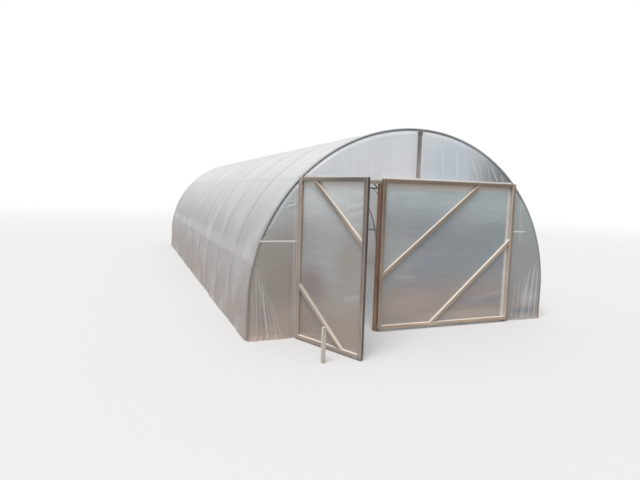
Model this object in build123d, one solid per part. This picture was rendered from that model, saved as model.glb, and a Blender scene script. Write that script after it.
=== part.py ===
from build123d import *
import os
from math import atan2, cos, degrees, radians, sin

os.makedirs("parts", exist_ok=True)

# All sizes in mm. X runs across the tunnel, Y along it to the back, Z up.
# The origin is on the ground under the middle of the whole, the left leaf standing open.

# Hoops: a straight foot, a shoulder bend, then one wide crown bend.
HALF_WIDTH = 2000.0
FOOT = 395.0
SHOULDER_INSET = 37.0
SHOULDER_ANGLE = 58.0
PIPE = 27.0
PIPE_SIDES = 8
BAY = 945.0
BAYS = 10

# Purlins run under the hoops, at these heights up the curve.
LOWER_PURLIN_ANGLE = 12.5
UPPER_PURLIN_ANGLE = 43.4

FILM = 3.0

# Timber of the end walls. The door head meets the hoop at this height up the curve.
TIMBER_FACE = 60.0
TIMBER_DEPTH = 50.0
HEAD_ANGLE = 42.9
FILM_LAP = 25.0
POST_LAP = 28.0
MIDDLE_LAP = 10.0
BACK_POST_INSET = 20.0
LATH_FACE = 28.0
LATH_DEPTH = 30.0
LEFT_LATH_TOP = 1085.0
RIGHT_LATH_TOP = 1190.0

# The two leaves, of lighter battens, hung in front of the doorway from near the ends of the head.
BATTEN_FACE = 44.0
BATTEN_DEPTH = 40.0
LEFT_MARGIN = 20.0
RIGHT_MARGIN = 39.0
LEFT_WIDTH = 957.0
LEAF_GAP = 10.0
WALL_GAP = 6.0
LEFT_FOOT = 10.0
RIGHT_FOOT = 30.0
LEFT_OVER_HEAD = 38.0
RIGHT_OVER_HEAD = 62.0
LEAF_FILM_INSET = 6.0
OPEN_ANGLE = 67.0

# Each brace cuts off a corner of its leaf: how far along the rail, and along the stile.
LEFT_UPPER_BRACE = (676.0, 592.0)
LEFT_LOWER_BRACE = (620.0, 534.0)
RIGHT_UPPER_BRACE = (1301.0, 1072.0)
RIGHT_LOWER_BRACE = (1111.0, 977.0)

# Butt hinges.
HINGE_HEIGHT = 90.0
HINGE_PLATE = 26.0
HINGE_THICKNESS = 2.0
KNUCKLE = 10.0
HINGE_PIN = 5.0
PIN_CLEARANCE = 0.5
KNUCKLE_GAP = 1.0
HINGE_INSET = 200.0

# The catch on the middle post, and the stake that stops the left leaf.
HOOK_WIRE = 6.0
HOOK_BELOW_HEAD = 50.0
HOOK_REACH = 113.0
HOOK_STRUT = 78.0
HOOK_DROP = 72.0
STAKE_SIDE = 33.0
STAKE_HEIGHT = 345.0
STAKE_FROM_END = 130.0
STAKE_INSIDE = 19.0

SHOULDER_RADIUS = HALF_WIDTH - SHOULDER_INSET
CROWN_RADIUS = SHOULDER_RADIUS + SHOULDER_INSET / cos(radians(SHOULDER_ANGLE))
CROWN_Z = FOOT - (CROWN_RADIUS - SHOULDER_RADIUS) * sin(radians(SHOULDER_ANGLE))
WALL_FACE = PIPE / 2
FILM_FACE = WALL_FACE + FILM
AXIS_OUT = FILM_FACE + KNUCKLE / 2
LEAF_BACK = FILM_FACE + WALL_GAP + FILM
LEAF_FACE = LEAF_BACK - AXIS_OUT + BATTEN_DEPTH
AXIS_SIDE = KNUCKLE / 2
INNER_RADIUS = SHOULDER_RADIUS - PIPE / 2
HEAD_HEIGHT = FOOT + INNER_RADIUS * sin(radians(HEAD_ANGLE))
HEAD_END = SHOULDER_INSET + INNER_RADIUS * cos(radians(HEAD_ANGLE))
HEAD_TOP = HEAD_HEIGHT + TIMBER_FACE
LEFT_EDGE = LEFT_MARGIN - HEAD_END
RIGHT_EDGE = HEAD_END - RIGHT_MARGIN
RIGHT_WIDTH = RIGHT_EDGE - LEFT_EDGE - LEFT_WIDTH - LEAF_GAP

# The front wall stands as far forward as leaves the open leaf inside half the whole length.
LEAF_REACH = (AXIS_OUT + (AXIS_SIDE + LEFT_WIDTH) * sin(radians(OPEN_ANGLE))
              + LEAF_FACE * cos(radians(OPEN_ANGLE)))
FRONT = (LEAF_REACH - FILM_FACE - BAY * BAYS) / 2
BACK = FRONT + BAY * BAYS


def save(name, *solids):
    shape = solids[0] if len(solids) == 1 else Compound(children=list(solids))
    shape.label = name
    export_step(shape, f"parts/{name}.step")


def box(x0, x1, y0, y1, z0, z1):
    centre = ((x0 + x1) / 2, (y0 + y1) / 2, (z0 + z1) / 2)
    return Pos(*centre) * Box(x1 - x0, y1 - y0, z1 - z0)


def shoulder_point(angle, out=0.0):
    reach = SHOULDER_RADIUS + out
    return SHOULDER_INSET + reach * cos(radians(angle)), FOOT + reach * sin(radians(angle))


def hoop_line(out=0.0):
    """The hoop's centre line moved out by a distance, drawn flat as X and Z."""
    x, z = shoulder_point(SHOULDER_ANGLE, out)
    mid_x, mid_z = shoulder_point(SHOULDER_ANGLE / 2, out)
    wide = HALF_WIDTH + out
    foot = Line((wide, 0), (wide, FOOT))
    shoulder = ThreePointArc((wide, FOOT), (mid_x, mid_z), (x, z))
    crown = ThreePointArc((x, z), (0, CROWN_Z + CROWN_RADIUS + out), (-x, z))
    left = ThreePointArc((-x, z), (-mid_x, mid_z), (-wide, FOOT))
    return [foot, shoulder, crown, left, Line((-wide, FOOT), (-wide, 0))]


def under_hoop(out, low=0.0):
    """Everything under a hoop line, as a face, from a height up."""
    wide = HALF_WIDTH + out
    face = make_face(hoop_line(out) + [Line((-wide, 0), (wide, 0))])
    if low:
        face -= Pos(0, low / 2) * Rectangle(3 * wide, low)
    return face


def stood(face, y0, y1):
    """A face drawn as X and Z, made solid between two places along the tunnel."""
    return extrude(Plane.XZ.offset(-y0) * face, amount=-(y1 - y0))


def hoop():
    """One bent pipe, eight-sided with a flat side to the film, the purlins and the timber."""
    path = Wire([Plane.XZ * line for line in hoop_line()])
    section = Rot(0, 0, 180 / PIPE_SIDES) * RegularPolygon(PIPE / 2, PIPE_SIDES, major_radius=False)
    return sweep(Pos(HALF_WIDTH, 0, 0) * section, path=path)


def purlin(x, z, y0, y1):
    return Pos(x, (y0 + y1) / 2, z) * Rot(90, 0, 0) * Cylinder(PIPE / 2, y1 - y0)


# Hoops
one_hoop = hoop()
hoops = [Pos(0, FRONT + i * BAY, 0) * one_hoop for i in range(BAYS + 1)]
save("front_hoop", hoops[0])
save("inner_hoops", *hoops[1:-1])
save("back_hoop", hoops[-1])

# Purlins
timber_back = FRONT - WALL_FACE + TIMBER_DEPTH
end_to_end = (timber_back, BACK + WALL_FACE - TIMBER_DEPTH)
upper_x, upper_z = shoulder_point(UPPER_PURLIN_ANGLE, -PIPE)
lower_x, lower_z = shoulder_point(LOWER_PURLIN_ANGLE, -PIPE)
hoop_to_hoop = (FRONT - WALL_FACE, BACK + WALL_FACE)
save("ridge_purlin", purlin(0, CROWN_Z + CROWN_RADIUS - PIPE, *end_to_end))
save("upper_purlins", *[purlin(s * upper_x, upper_z, *end_to_end) for s in (-1, 1)])
save("lower_purlins", *[purlin(s * lower_x, lower_z, *hoop_to_hoop) for s in (-1, 1)])

# Cover film, in strips that meet at the purlins
skin = under_hoop(FILM_FACE) - under_hoop(WALL_FACE)
high = CROWN_Z + CROWN_RADIUS + PIPE
for side, s in (("left", -1), ("right", 1)):
    bands = (("side", 0, lower_z), ("slope", lower_z, upper_z), ("roof", upper_z, high))
    for band, low, top in bands:
        centre = (s * HALF_WIDTH, (low + top) / 2)
        strip = skin & (Pos(*centre) * Rectangle(2 * HALF_WIDTH, top - low))
        save(f"cover_{side}_{band}", stood(strip, FRONT - FILM_FACE, BACK + FILM_FACE))


def timber(x0, x1, z0, z1, depth=TIMBER_DEPTH, at_back=False):
    """A straight piece of an end wall, its ends cut to the hoop."""
    face = Pos((x0 + x1) / 2, (z0 + z1) / 2) * Rectangle(x1 - x0, z1 - z0)
    near = BACK + WALL_FACE - depth if at_back else FRONT - WALL_FACE
    return stood(face & under_hoop(-PIPE / 2), near, near + depth)


# Front wall timber
left_post = (LEFT_EDGE - TIMBER_FACE + POST_LAP, LEFT_EDGE + POST_LAP)
right_post = (RIGHT_EDGE - POST_LAP, RIGHT_EDGE + TIMBER_FACE - POST_LAP)
middle_left = LEFT_EDGE + LEFT_WIDTH - MIDDLE_LAP
middle_post = (middle_left, middle_left + TIMBER_FACE)
centre_span = (-TIMBER_FACE / 2, TIMBER_FACE / 2)
save("left_post", timber(*left_post, 0, HEAD_HEIGHT))
save("middle_post", timber(*middle_post, 0, HEAD_HEIGHT))
save("right_post", timber(*right_post, 0, HEAD_HEIGHT))
save("door_head", timber(-HALF_WIDTH, HALF_WIDTH, HEAD_HEIGHT, HEAD_TOP))
save("king_post", timber(*centre_span, HEAD_TOP, high))
left_lath = (-HALF_WIDTH, left_post[0], LEFT_LATH_TOP - LATH_FACE, LEFT_LATH_TOP)
right_lath = (right_post[1], HALF_WIDTH, RIGHT_LATH_TOP - LATH_FACE, RIGHT_LATH_TOP)
save("left_lath", timber(*left_lath, LATH_DEPTH))
save("right_lath", timber(*right_lath, LATH_DEPTH))

# Back wall timber, behind a film with no door in it
back_edge = HEAD_END - BACK_POST_INSET
back_right = (back_edge - TIMBER_FACE, back_edge)
back_left = (-back_edge, TIMBER_FACE - back_edge)
back_posts = [timber(*p, 0, HEAD_HEIGHT, at_back=True) for p in (back_left, back_right)]
save("back_posts", *back_posts)
save("back_head", timber(-HALF_WIDTH, HALF_WIDTH, HEAD_HEIGHT, HEAD_TOP, at_back=True))
save("back_king_post", timber(*centre_span, HEAD_TOP, high, at_back=True))
save("back_film", stood(under_hoop(WALL_FACE), BACK + WALL_FACE, BACK + FILM_FACE))

# Front film: a gable over the door head and a cheek on each side
gable_foot = HEAD_TOP - FILM_LAP
gable = under_hoop(WALL_FACE, gable_foot)
save("gable_film", stood(gable, FRONT - FILM_FACE, FRONT - WALL_FACE))
for side, edge in (("left", left_post[0] + FILM_LAP), ("right", right_post[1] - FILM_LAP)):
    s = 1 if edge > 0 else -1
    reach = 2 * HALF_WIDTH
    window = Pos(edge + s * reach / 2, gable_foot / 2) * Rectangle(reach, gable_foot)
    cheek = under_hoop(WALL_FACE) & window
    save(f"{side}_cheek_film", stood(cheek, FRONT - FILM_FACE, FRONT - WALL_FACE))


def brace(rail_point, stile_point, opening):
    """A flat brace between two points of its centre line, cut to the opening."""
    run = Vector(*stile_point) - Vector(*rail_point)
    middle = (Vector(*stile_point) + Vector(*rail_point)) * 0.5
    turn = degrees(atan2(run.Y, run.X))
    long = Rectangle(run.length + 4 * BATTEN_FACE, BATTEN_FACE)
    return (Pos(middle.X, middle.Y) * Rot(0, 0, turn) * long) & opening


def leaf(width, foot, top, upper, lower):
    """A leaf shut, from its hinge edge at X = 0: half-lapped stiles and rails, and braces."""
    t = BATTEN_FACE
    back = AXIS_OUT - LEAF_BACK
    front, half = back - BATTEN_DEPTH, back - BATTEN_DEPTH / 2
    stiles, rails = [], []
    for x in (0, width - t):
        stile = box(x, x + t, front, back, foot, top)
        for z in (foot, top - t):
            stile -= box(x, x + t, half, back, z, z + t)
        stiles.append(stile)
    for z in (foot, top - t):
        rails.append(box(t, width - t, front, back, z, z + t) + box(0, width, half, back, z, z + t))
    opening = Pos(width / 2, (foot + top) / 2) * Rectangle(width - 2 * t, top - foot - 2 * t)
    low, high_end, inner = foot + t, top - t, width - t
    faces = [brace((inner - upper[0], high_end), (inner, high_end - upper[1]), opening),
             brace((t + lower[0], low), (t, low + lower[1]), opening)]
    return {"stiles": stiles, "rails": rails, "braces": [stood(f, front, back) for f in faces]}


def hinge_half(moving, side):
    """One half of a butt hinge about the Z axis; side is +1 where its leaf runs to +X."""
    band = (HINGE_HEIGHT - 2 * KNUCKLE_GAP) / 3
    r, t = KNUCKLE / 2, HINGE_THICKNESS
    if moving:
        half = Cylinder(r, band) - Cylinder(HINGE_PIN / 2 + PIN_CLEARANCE, band)
        plate = box(side * r - t / 2, side * r + t / 2, -r - HINGE_PLATE, 0,
                    -HINGE_HEIGHT / 2, HINGE_HEIGHT / 2)
        plate = Pos(-side * t / 2, 0, 0) * plate
        room = Cylinder(r + KNUCKLE_GAP, HINGE_HEIGHT) - Cylinder(r + KNUCKLE_GAP, band)
        return half + (plate - room - Cylinder(HINGE_PIN / 2 + PIN_CLEARANCE, HINGE_HEIGHT))
    ends = [Pos(0, 0, z) * Cylinder(r, band) for z in (-band - KNUCKLE_GAP, band + KNUCKLE_GAP)]
    plate = Pos(-side * HINGE_PLATE / 2, r - t / 2, 0) * Box(HINGE_PLATE, t, HINGE_HEIGHT)
    plate -= Cylinder(r + KNUCKLE_GAP, band + 2 * KNUCKLE_GAP)
    return ends[0] + ends[1] + Cylinder(HINGE_PIN / 2, HINGE_HEIGHT) + plate


def hinge_heights(foot, top, count):
    low, high_one = foot + HINGE_INSET, top - HINGE_INSET
    return [low + i * (high_one - low) / (count - 1) for i in range(count)]


# The two leaves, each drawn shut about its own hinge axis and then turned to rest
leaves = (
    ("left", 1, LEFT_EDGE - AXIS_SIDE, LEFT_WIDTH, LEFT_FOOT, HEAD_HEIGHT + LEFT_OVER_HEAD,
     LEFT_UPPER_BRACE, LEFT_LOWER_BRACE, -OPEN_ANGLE, 2),
    ("right", -1, RIGHT_EDGE + AXIS_SIDE, RIGHT_WIDTH, RIGHT_FOOT, HEAD_HEIGHT + RIGHT_OVER_HEAD,
     RIGHT_UPPER_BRACE, RIGHT_LOWER_BRACE, 0, 3),
)
for side, s, axis_x, width, foot, top, upper, lower, turn, count in leaves:
    at_axis = Pos(axis_x, FRONT - AXIS_OUT, 0)
    rest = at_axis * Rot(0, 0, turn)
    for kind, solids in leaf(width, foot, top, upper, lower).items():
        solids = [Pos(AXIS_SIDE, 0, 0) * solid for solid in solids]
        if s < 0:
            solids = [mirror(solid, Plane.YZ) for solid in solids]
        save(f"{side}_leaf_{kind}", *[rest * solid for solid in solids])
    back, inset = AXIS_OUT - LEAF_BACK, LEAF_FILM_INSET
    x0, x1 = AXIS_SIDE + inset, AXIS_SIDE + width - inset
    sheet = box(min(s * x0, s * x1), max(s * x0, s * x1), back, back + FILM,
                foot + inset, top - inset)
    save(f"{side}_leaf_film", rest * sheet)
    heights = hinge_heights(foot, top, count)
    save(f"{side}_leaf_hinges", *[rest * Pos(0, 0, z) * hinge_half(True, s) for z in heights])
    save(f"{side}_post_hinges", *[at_axis * Pos(0, 0, z) * hinge_half(False, s) for z in heights])

# Catch on the middle post: a bar and a strut under it
hook_y, hook_top = FRONT - WALL_FACE + TIMBER_DEPTH / 2, HEAD_HEIGHT - HOOK_BELOW_HEAD
bar = Pos(middle_left - HOOK_REACH / 2, hook_y, hook_top) * Rot(0, 90, 0)
strut_line = Line((middle_left, hook_y, hook_top - HOOK_DROP),
                  (middle_left - HOOK_STRUT, hook_y, hook_top))
strut = sweep(Plane(strut_line @ 0, z_dir=strut_line % 0) * Circle(HOOK_WIRE / 2), path=strut_line)
beyond = box(middle_left, middle_post[1], hook_y - TIMBER_DEPTH, hook_y + TIMBER_DEPTH, 0, high)
save("door_hook", bar * Cylinder(HOOK_WIRE / 2, HOOK_REACH) + (strut - beyond))

# Stake in front of the left leaf
stake = Box(STAKE_SIDE, STAKE_SIDE, STAKE_HEIGHT, align=(Align.CENTER, Align.CENTER, Align.MIN))
stake_x = LEFT_EDGE - AXIS_SIDE - LEAF_FACE + STAKE_INSIDE
stake_y = FRONT - AXIS_OUT - AXIS_SIDE - LEFT_WIDTH + STAKE_FROM_END
save("door_stake", Pos(stake_x, stake_y, 0) * stake)
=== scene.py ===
import bpy
import math
import numpy as np
from mathutils import Matrix, Vector


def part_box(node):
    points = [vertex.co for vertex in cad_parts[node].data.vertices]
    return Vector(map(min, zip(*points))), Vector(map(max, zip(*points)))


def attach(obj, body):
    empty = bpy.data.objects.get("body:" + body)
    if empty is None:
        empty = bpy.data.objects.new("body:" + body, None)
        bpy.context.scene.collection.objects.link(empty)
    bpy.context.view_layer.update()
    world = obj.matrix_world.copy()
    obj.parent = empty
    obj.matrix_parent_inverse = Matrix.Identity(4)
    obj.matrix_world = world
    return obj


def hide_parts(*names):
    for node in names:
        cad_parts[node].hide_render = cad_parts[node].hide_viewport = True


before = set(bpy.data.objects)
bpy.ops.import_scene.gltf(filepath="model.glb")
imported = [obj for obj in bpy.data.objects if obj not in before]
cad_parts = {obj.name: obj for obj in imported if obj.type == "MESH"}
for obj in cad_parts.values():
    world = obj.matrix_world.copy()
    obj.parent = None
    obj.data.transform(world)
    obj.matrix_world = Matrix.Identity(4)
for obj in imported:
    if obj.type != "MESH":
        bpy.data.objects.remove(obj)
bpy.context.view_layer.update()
print("frame loaded:", len(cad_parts), "pieces")

# the tunnel's own sizes in metres, measured off the frame or as it was built
tunnel = {"halfWidth": 2.0, "foot": 0.395, "inset": 0.037, "shoulderTurn": 58.0, "pipe": 0.027,
          "bay": 0.945, "bays": 10, "lowerPurlin": 12.5, "upperPurlin": 43.4}
front, back = (sum(corner.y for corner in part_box(node)) / 2 for node in ("front_hoop", "back_hoop"))
forward, backward = (0, -1, 0), (0, 1, 0)
pipeRadius = tunnel["pipe"] / 2
shoulderRadius = tunnel["halfWidth"] - tunnel["inset"]
shoulderTurn = math.radians(tunnel["shoulderTurn"])
crownRadius = shoulderRadius + tunnel["inset"] / math.cos(shoulderTurn)
crownHeight = tunnel["foot"] - (crownRadius - shoulderRadius) * math.sin(shoulderTurn)
crownHalf = math.pi / 2 - shoulderTurn
crownArc = crownRadius * crownHalf
shoulderArc = shoulderRadius * shoulderTurn
halfArc = crownArc + shoulderArc + tunnel["foot"]
upperPurlinArc, lowerPurlinArc = (crownArc + shoulderRadius * (shoulderTurn - math.radians(tunnel[name]))
                                  for name in ("upperPurlin", "lowerPurlin"))


def hoopAt(arc, out=0.0):
    # a place on the hoop line, by its distance along the hoop from the crown, left negative
    run = np.abs(arc)
    onCrown = run <= crownArc
    turn = np.minimum(run, crownArc) / crownRadius + np.clip(run - crownArc, 0, shoulderArc) / shoulderRadius
    radius = np.where(onCrown, crownRadius, shoulderRadius) + out
    x = np.where(onCrown, 0.0, tunnel["inset"]) + radius * np.sin(turn)
    z = np.where(onCrown, crownHeight, tunnel["foot"]) + radius * np.cos(turn)
    return np.where(np.asarray(arc) < 0, -x, x), z - np.maximum(run - crownArc - shoulderArc, 0)


def hoopHeight(x, out=0.0):
    # how high the hoop line stands over a place across the tunnel
    x = np.abs(x)
    crown = np.sqrt(np.maximum((crownRadius + out) ** 2 - x ** 2, 0)) + crownHeight
    reach = x - tunnel["inset"]
    shoulder = tunnel["foot"] + np.sqrt(np.maximum((shoulderRadius + out) ** 2 - reach ** 2, 0))
    return np.where(x < (crownRadius + out) * math.sin(crownHalf), crown, shoulder)


def insideHoop(x, z):
    # how far inside the hoop line a place on an end wall lies
    x = np.abs(x)
    crown = crownRadius - np.hypot(x, z - crownHeight)
    shoulder = shoulderRadius - np.hypot(x - tunnel["inset"], z - tunnel["foot"])
    bent = np.where(np.arctan2(x, z - crownHeight) < crownHalf, crown, shoulder)
    return np.where(z < tunnel["foot"], tunnel["halfWidth"] - x, bent)


def lattice(places, step):
    # the lattice point below each place, and the eased share of the way to the next one
    places = np.asarray(places, float) / step + 1000.0
    low = np.floor(places).astype(int)
    part = places - low
    return low, part * part * (3 - 2 * part)


def wander(places, step, seed):
    # a smooth seeded wander along a line, between -1 and 1
    low, part = lattice(places, step)
    table = np.random.RandomState(seed).uniform(-1, 1, 4096)
    return table[low % 4096] * (1 - part) + table[(low + 1) % 4096] * part


def swell(u, v, stepU, stepV, seed):
    # the same over a sheet
    (lowU, partU), (lowV, partV) = lattice(u, stepU), lattice(v, stepV)
    table = np.random.RandomState(seed).uniform(-1, 1, (512, 512))
    near, far = (table[lowU % 512, row % 512] * (1 - partU) + table[(lowU + 1) % 512, row % 512] * partU
                 for row in (lowV, lowV + 1))
    return near * (1 - partV) + far * partV


def ease(value, low, high):
    part = np.clip((np.asarray(value, float) - low) / (high - low), 0, 1)
    return part * part * (3 - 2 * part)


# materials

class Flow:
    # a socket that can be reckoned with

    def __init__(self, paint, socket):
        self.paint = paint
        self.socket = socket

    def reckon(self, operation, *others):
        return self.paint.node("ShaderNodeMath", {"operation": operation}, dict(enumerate(others)))

    def __add__(self, other):
        return self.reckon("ADD", self, other)

    def __radd__(self, other):
        return self.reckon("ADD", other, self)

    def __sub__(self, other):
        return self.reckon("SUBTRACT", self, other)

    def __rsub__(self, other):
        return self.reckon("SUBTRACT", other, self)

    def __mul__(self, other):
        return self.reckon("MULTIPLY", self, other)

    def __rmul__(self, other):
        return self.reckon("MULTIPLY", other, self)

    def __truediv__(self, other):
        return self.reckon("DIVIDE", self, other)

    def __rtruediv__(self, other):
        return self.reckon("DIVIDE", other, self)

    def __pow__(self, other):
        return self.reckon("POWER", self, other)

    def __abs__(self):
        return self.reckon("ABSOLUTE", self)


class Paint:
    # the nodes of a new material or world

    def __init__(self, owner):
        self.owner = owner
        owner.use_nodes = True
        self.tree = owner.node_tree
        self.tree.nodes.clear()

    def node(self, kind, settings=None, values=None, out=0):
        made = self.tree.nodes.new(kind)
        for key, value in (settings or {}).items():
            setattr(made, key, value)
        for key, value in (values or {}).items():
            if isinstance(value, Flow):
                self.tree.links.new(value.socket, made.inputs[key])
            else:
                made.inputs[key].default_value = value
        return Flow(self, made.outputs[out]) if made.outputs else made

    def mark(self, name, out=2):
        return self.node("ShaderNodeAttribute", {"attribute_name": name}, out=out)

    def place(self):
        return self.node("ShaderNodeTexCoord", out=3)

    def noise(self, vector, scale, detail=3.0, rough=0.55, warp=0.0, stretched=None):
        if stretched:
            vector = self.node("ShaderNodeMapping", {}, {"Vector": vector, "Scale": stretched})
        return self.node("ShaderNodeTexNoise", {}, {"Vector": vector, "Scale": scale, "Detail": detail,
                                                    "Roughness": rough, "Distortion": warp})

    def between(self, value, low, high):
        return self.node("ShaderNodeMapRange", {"interpolation_type": "SMOOTHSTEP"},
                         {"Value": value, "From Min": low, "From Max": high})

    def blend(self, mask, first, second):
        def full(colour):
            return colour if isinstance(colour, Flow) else (*colour, 1)
        values = {0: mask, 6: full(first), 7: full(second)}
        return self.node("ShaderNodeMix", {"data_type": "RGBA"}, values, out=2)

    def split(self, vector):
        outs = self.node("ShaderNodeSeparateXYZ", {}, {0: vector}).socket.node.outputs
        return [Flow(self, out) for out in outs]

    def skin(self, colour, rough, ior, height, strength, distance, metal=0.0):
        # a rough surface with a fine relief
        bump = self.node("ShaderNodeBump", {}, {"Height": height, "Strength": strength, "Distance": distance})
        values = {"Base Color": colour, "Roughness": rough, "IOR": ior, "Metallic": metal, "Normal": bump}
        return self.node("ShaderNodeBsdfPrincipled", {}, values)

    def clear(self):
        return self.node("ShaderNodeBsdfTransparent")

    def layered(self, share, under, over):
        return self.node("ShaderNodeMixShader", {}, {0: share, 1: under, 2: over})

    def seen(self):
        # one where the camera looks, also in a mirror or through a clear thing
        seen = self.node("ShaderNodeLightPath")
        outs = seen.socket.node.outputs
        for name in ("Is Glossy Ray", "Is Transmission Ray"):
            seen = seen.reckon("MAXIMUM", seen, Flow(self, outs[name]))
        return seen

    def finish(self, shader, output="ShaderNodeOutputMaterial"):
        self.node(output, {}, {0: shader})
        return self.owner


wallFilm = {"paintedLightAndShade": (), "cloudy": 0.90, "pressed": 0.66, "through": 0.14, "streak": (7.0, 0.45),
            "streaky": 0.08, "rough": 0.24}
leafFilm = {"cloudy": 0.92, "pressed": 0.6, "streak": (0.5, 3.0), "streaky": 0.06, "rough": 0.22,
            "creaseHighlight": 0.35}
# levels are the heights over which the foot colour gives way to the middle one, and that to the top one;
# these colours are partly dust low down and partly painted light and shade, the top ones mostly lighter and
# bluer;
# paintedLightAndShade holds soft lighter and darker patches of painted light and shade: place along and up
# the sheet, reach along and up, colour and strength
filmLook = {
    "cover": {"top": (0.88, 0.89, 0.905), "middle": (0.475, 0.455, 0.445), "foot": (0.40, 0.315, 0.27),
              "levels": (0.15, 0.95, 0.9, 2.0), "blotch": (0.78, 0.79, 0.80), "paintedLightAndShade": (),
              "cloudy": 0.93, "pressed": 0.62, "through": 0.22,
              "streak": (8.0, 0.5), "streaky": 0.10, "rough": 0.30, "creaseHighlight": 0.45},
    "gable": {"top": (0.925, 0.965, 1.0), "middle": (0.93, 0.96, 1.0), "foot": (0.91, 0.94, 0.99),
              "levels": (1.75, 1.9, 1.9, 2.3), "blotch": (0.87, 0.925, 0.99),
              "paintedLightAndShade": ((1.55, 1.80, 1.25, 1.00, (0.15, 0.175, 0.19), 1.0),
                         (0.38, 1.95, 0.60, 0.50, (0.62, 0.72, 0.86), 0.70)),
              "cloudy": 0.93, "pressed": 0.20, "through": 0.25,
              "streak": (5.0, 0.35), "streaky": 0.05, "rough": 0.22, "creaseHighlight": 0.75},
    "leftCheek": {**wallFilm, "top": (0.58, 0.63, 0.645), "middle": (0.36, 0.305, 0.26),
                  "foot": (0.55, 0.40, 0.33), "levels": (0.05, 0.55, 0.9, 1.5), "blotch": (0.43, 0.39, 0.37),
                  "paintedLightAndShade": ((-1.470, 0.95, 0.036, 6.0, (0.97, 0.90, 0.84), 1.0),
                             (-1.86, 0.27, 0.20, 0.26, (0.35, 0.295, 0.27), 0.9)), "creaseHighlight": 0.50},
    "rightCheek": {**wallFilm, "top": (0.43, 0.485, 0.485), "middle": (0.385, 0.405, 0.40),
                   "foot": (0.42, 0.345, 0.32), "levels": (0.1, 0.7, 0.9, 1.5), "blotch": (0.43, 0.435, 0.44),
                   "paintedLightAndShade": ((1.80, 0.30, 0.24, 0.17, (0.52, 0.52, 0.60), 0.85),
                              (1.74, 0.125, 0.34, 0.065, (0.23, 0.245, 0.31), 0.95)), "creaseHighlight": 0.55},
    "back": {**wallFilm, "top": (0.66, 0.69, 0.725), "middle": (0.56, 0.55, 0.55), "foot": (0.46, 0.40, 0.36),
             "levels": (0.2, 0.8, 0.9, 1.6), "blotch": (0.58, 0.55, 0.57), "streaky": 0.10, "creaseHighlight": 0.6},
    "leftLeaf": {**leafFilm, "top": (0.66, 0.70, 0.715), "middle": (0.41, 0.425, 0.415),
                 "foot": (0.37, 0.295, 0.255), "levels": (0.2, 0.95, 1.15, 1.62),
                 "blotch": (0.43, 0.405, 0.395), "through": 0.10,
                 "paintedLightAndShade": ((0.20, 0.62, 0.34, 0.32, (0.28, 0.22, 0.21), 0.9),
                            (0.72, 0.90, 0.28, 0.42, (0.36, 0.315, 0.28), 0.9),
                            (0.78, 0.25, 0.30, 0.24, (0.38, 0.295, 0.23), 0.85),
                            (0.48, 1.695, 1.60, 0.060, (0.88, 0.85, 0.81), 0.9))},
    "rightLeaf": {**leafFilm, "top": (0.54, 0.615, 0.635), "middle": (0.305, 0.34, 0.375),
                  "foot": (0.415, 0.335, 0.30), "levels": (0.25, 0.85, 1.15, 1.60),
                  "blotch": (0.38, 0.385, 0.42), "through": 0.12,
                  "paintedLightAndShade": ((1.75, 0.95, 0.55, 0.55, (0.45, 0.455, 0.455), 0.85),
                             (1.55, 0.32, 0.60, 0.25, (0.50, 0.395, 0.35), 0.85),
                             (0.30, 1.58, 0.75, 0.35, (0.44, 0.525, 0.535), 0.8),
                             (0.42, 0.30, 0.48, 0.10, (0.31, 0.30, 0.345), 0.8),
                             (0.60, 0.14, 1.10, 0.075, (0.52, 0.43, 0.375), 0.85),
                             (0.95, 1.722, 2.80, 0.075, (0.84, 0.73, 0.66), 1.0),
                             (0.060, 0.85, 0.045, 5.0, (0.85, 0.81, 0.77), 1.0))},
}
# crease: the colour of the painted highlight along creases and fold crests
filmTints = {"streak": (0.30, 0.31, 0.33), "paintedGlint": (0.95, 0.96, 0.97), "soil": (0.42, 0.31, 0.22),
             "crease": (0.97, 0.97, 0.975), "paler": (0.96, 0.94, 0.91)}


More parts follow.
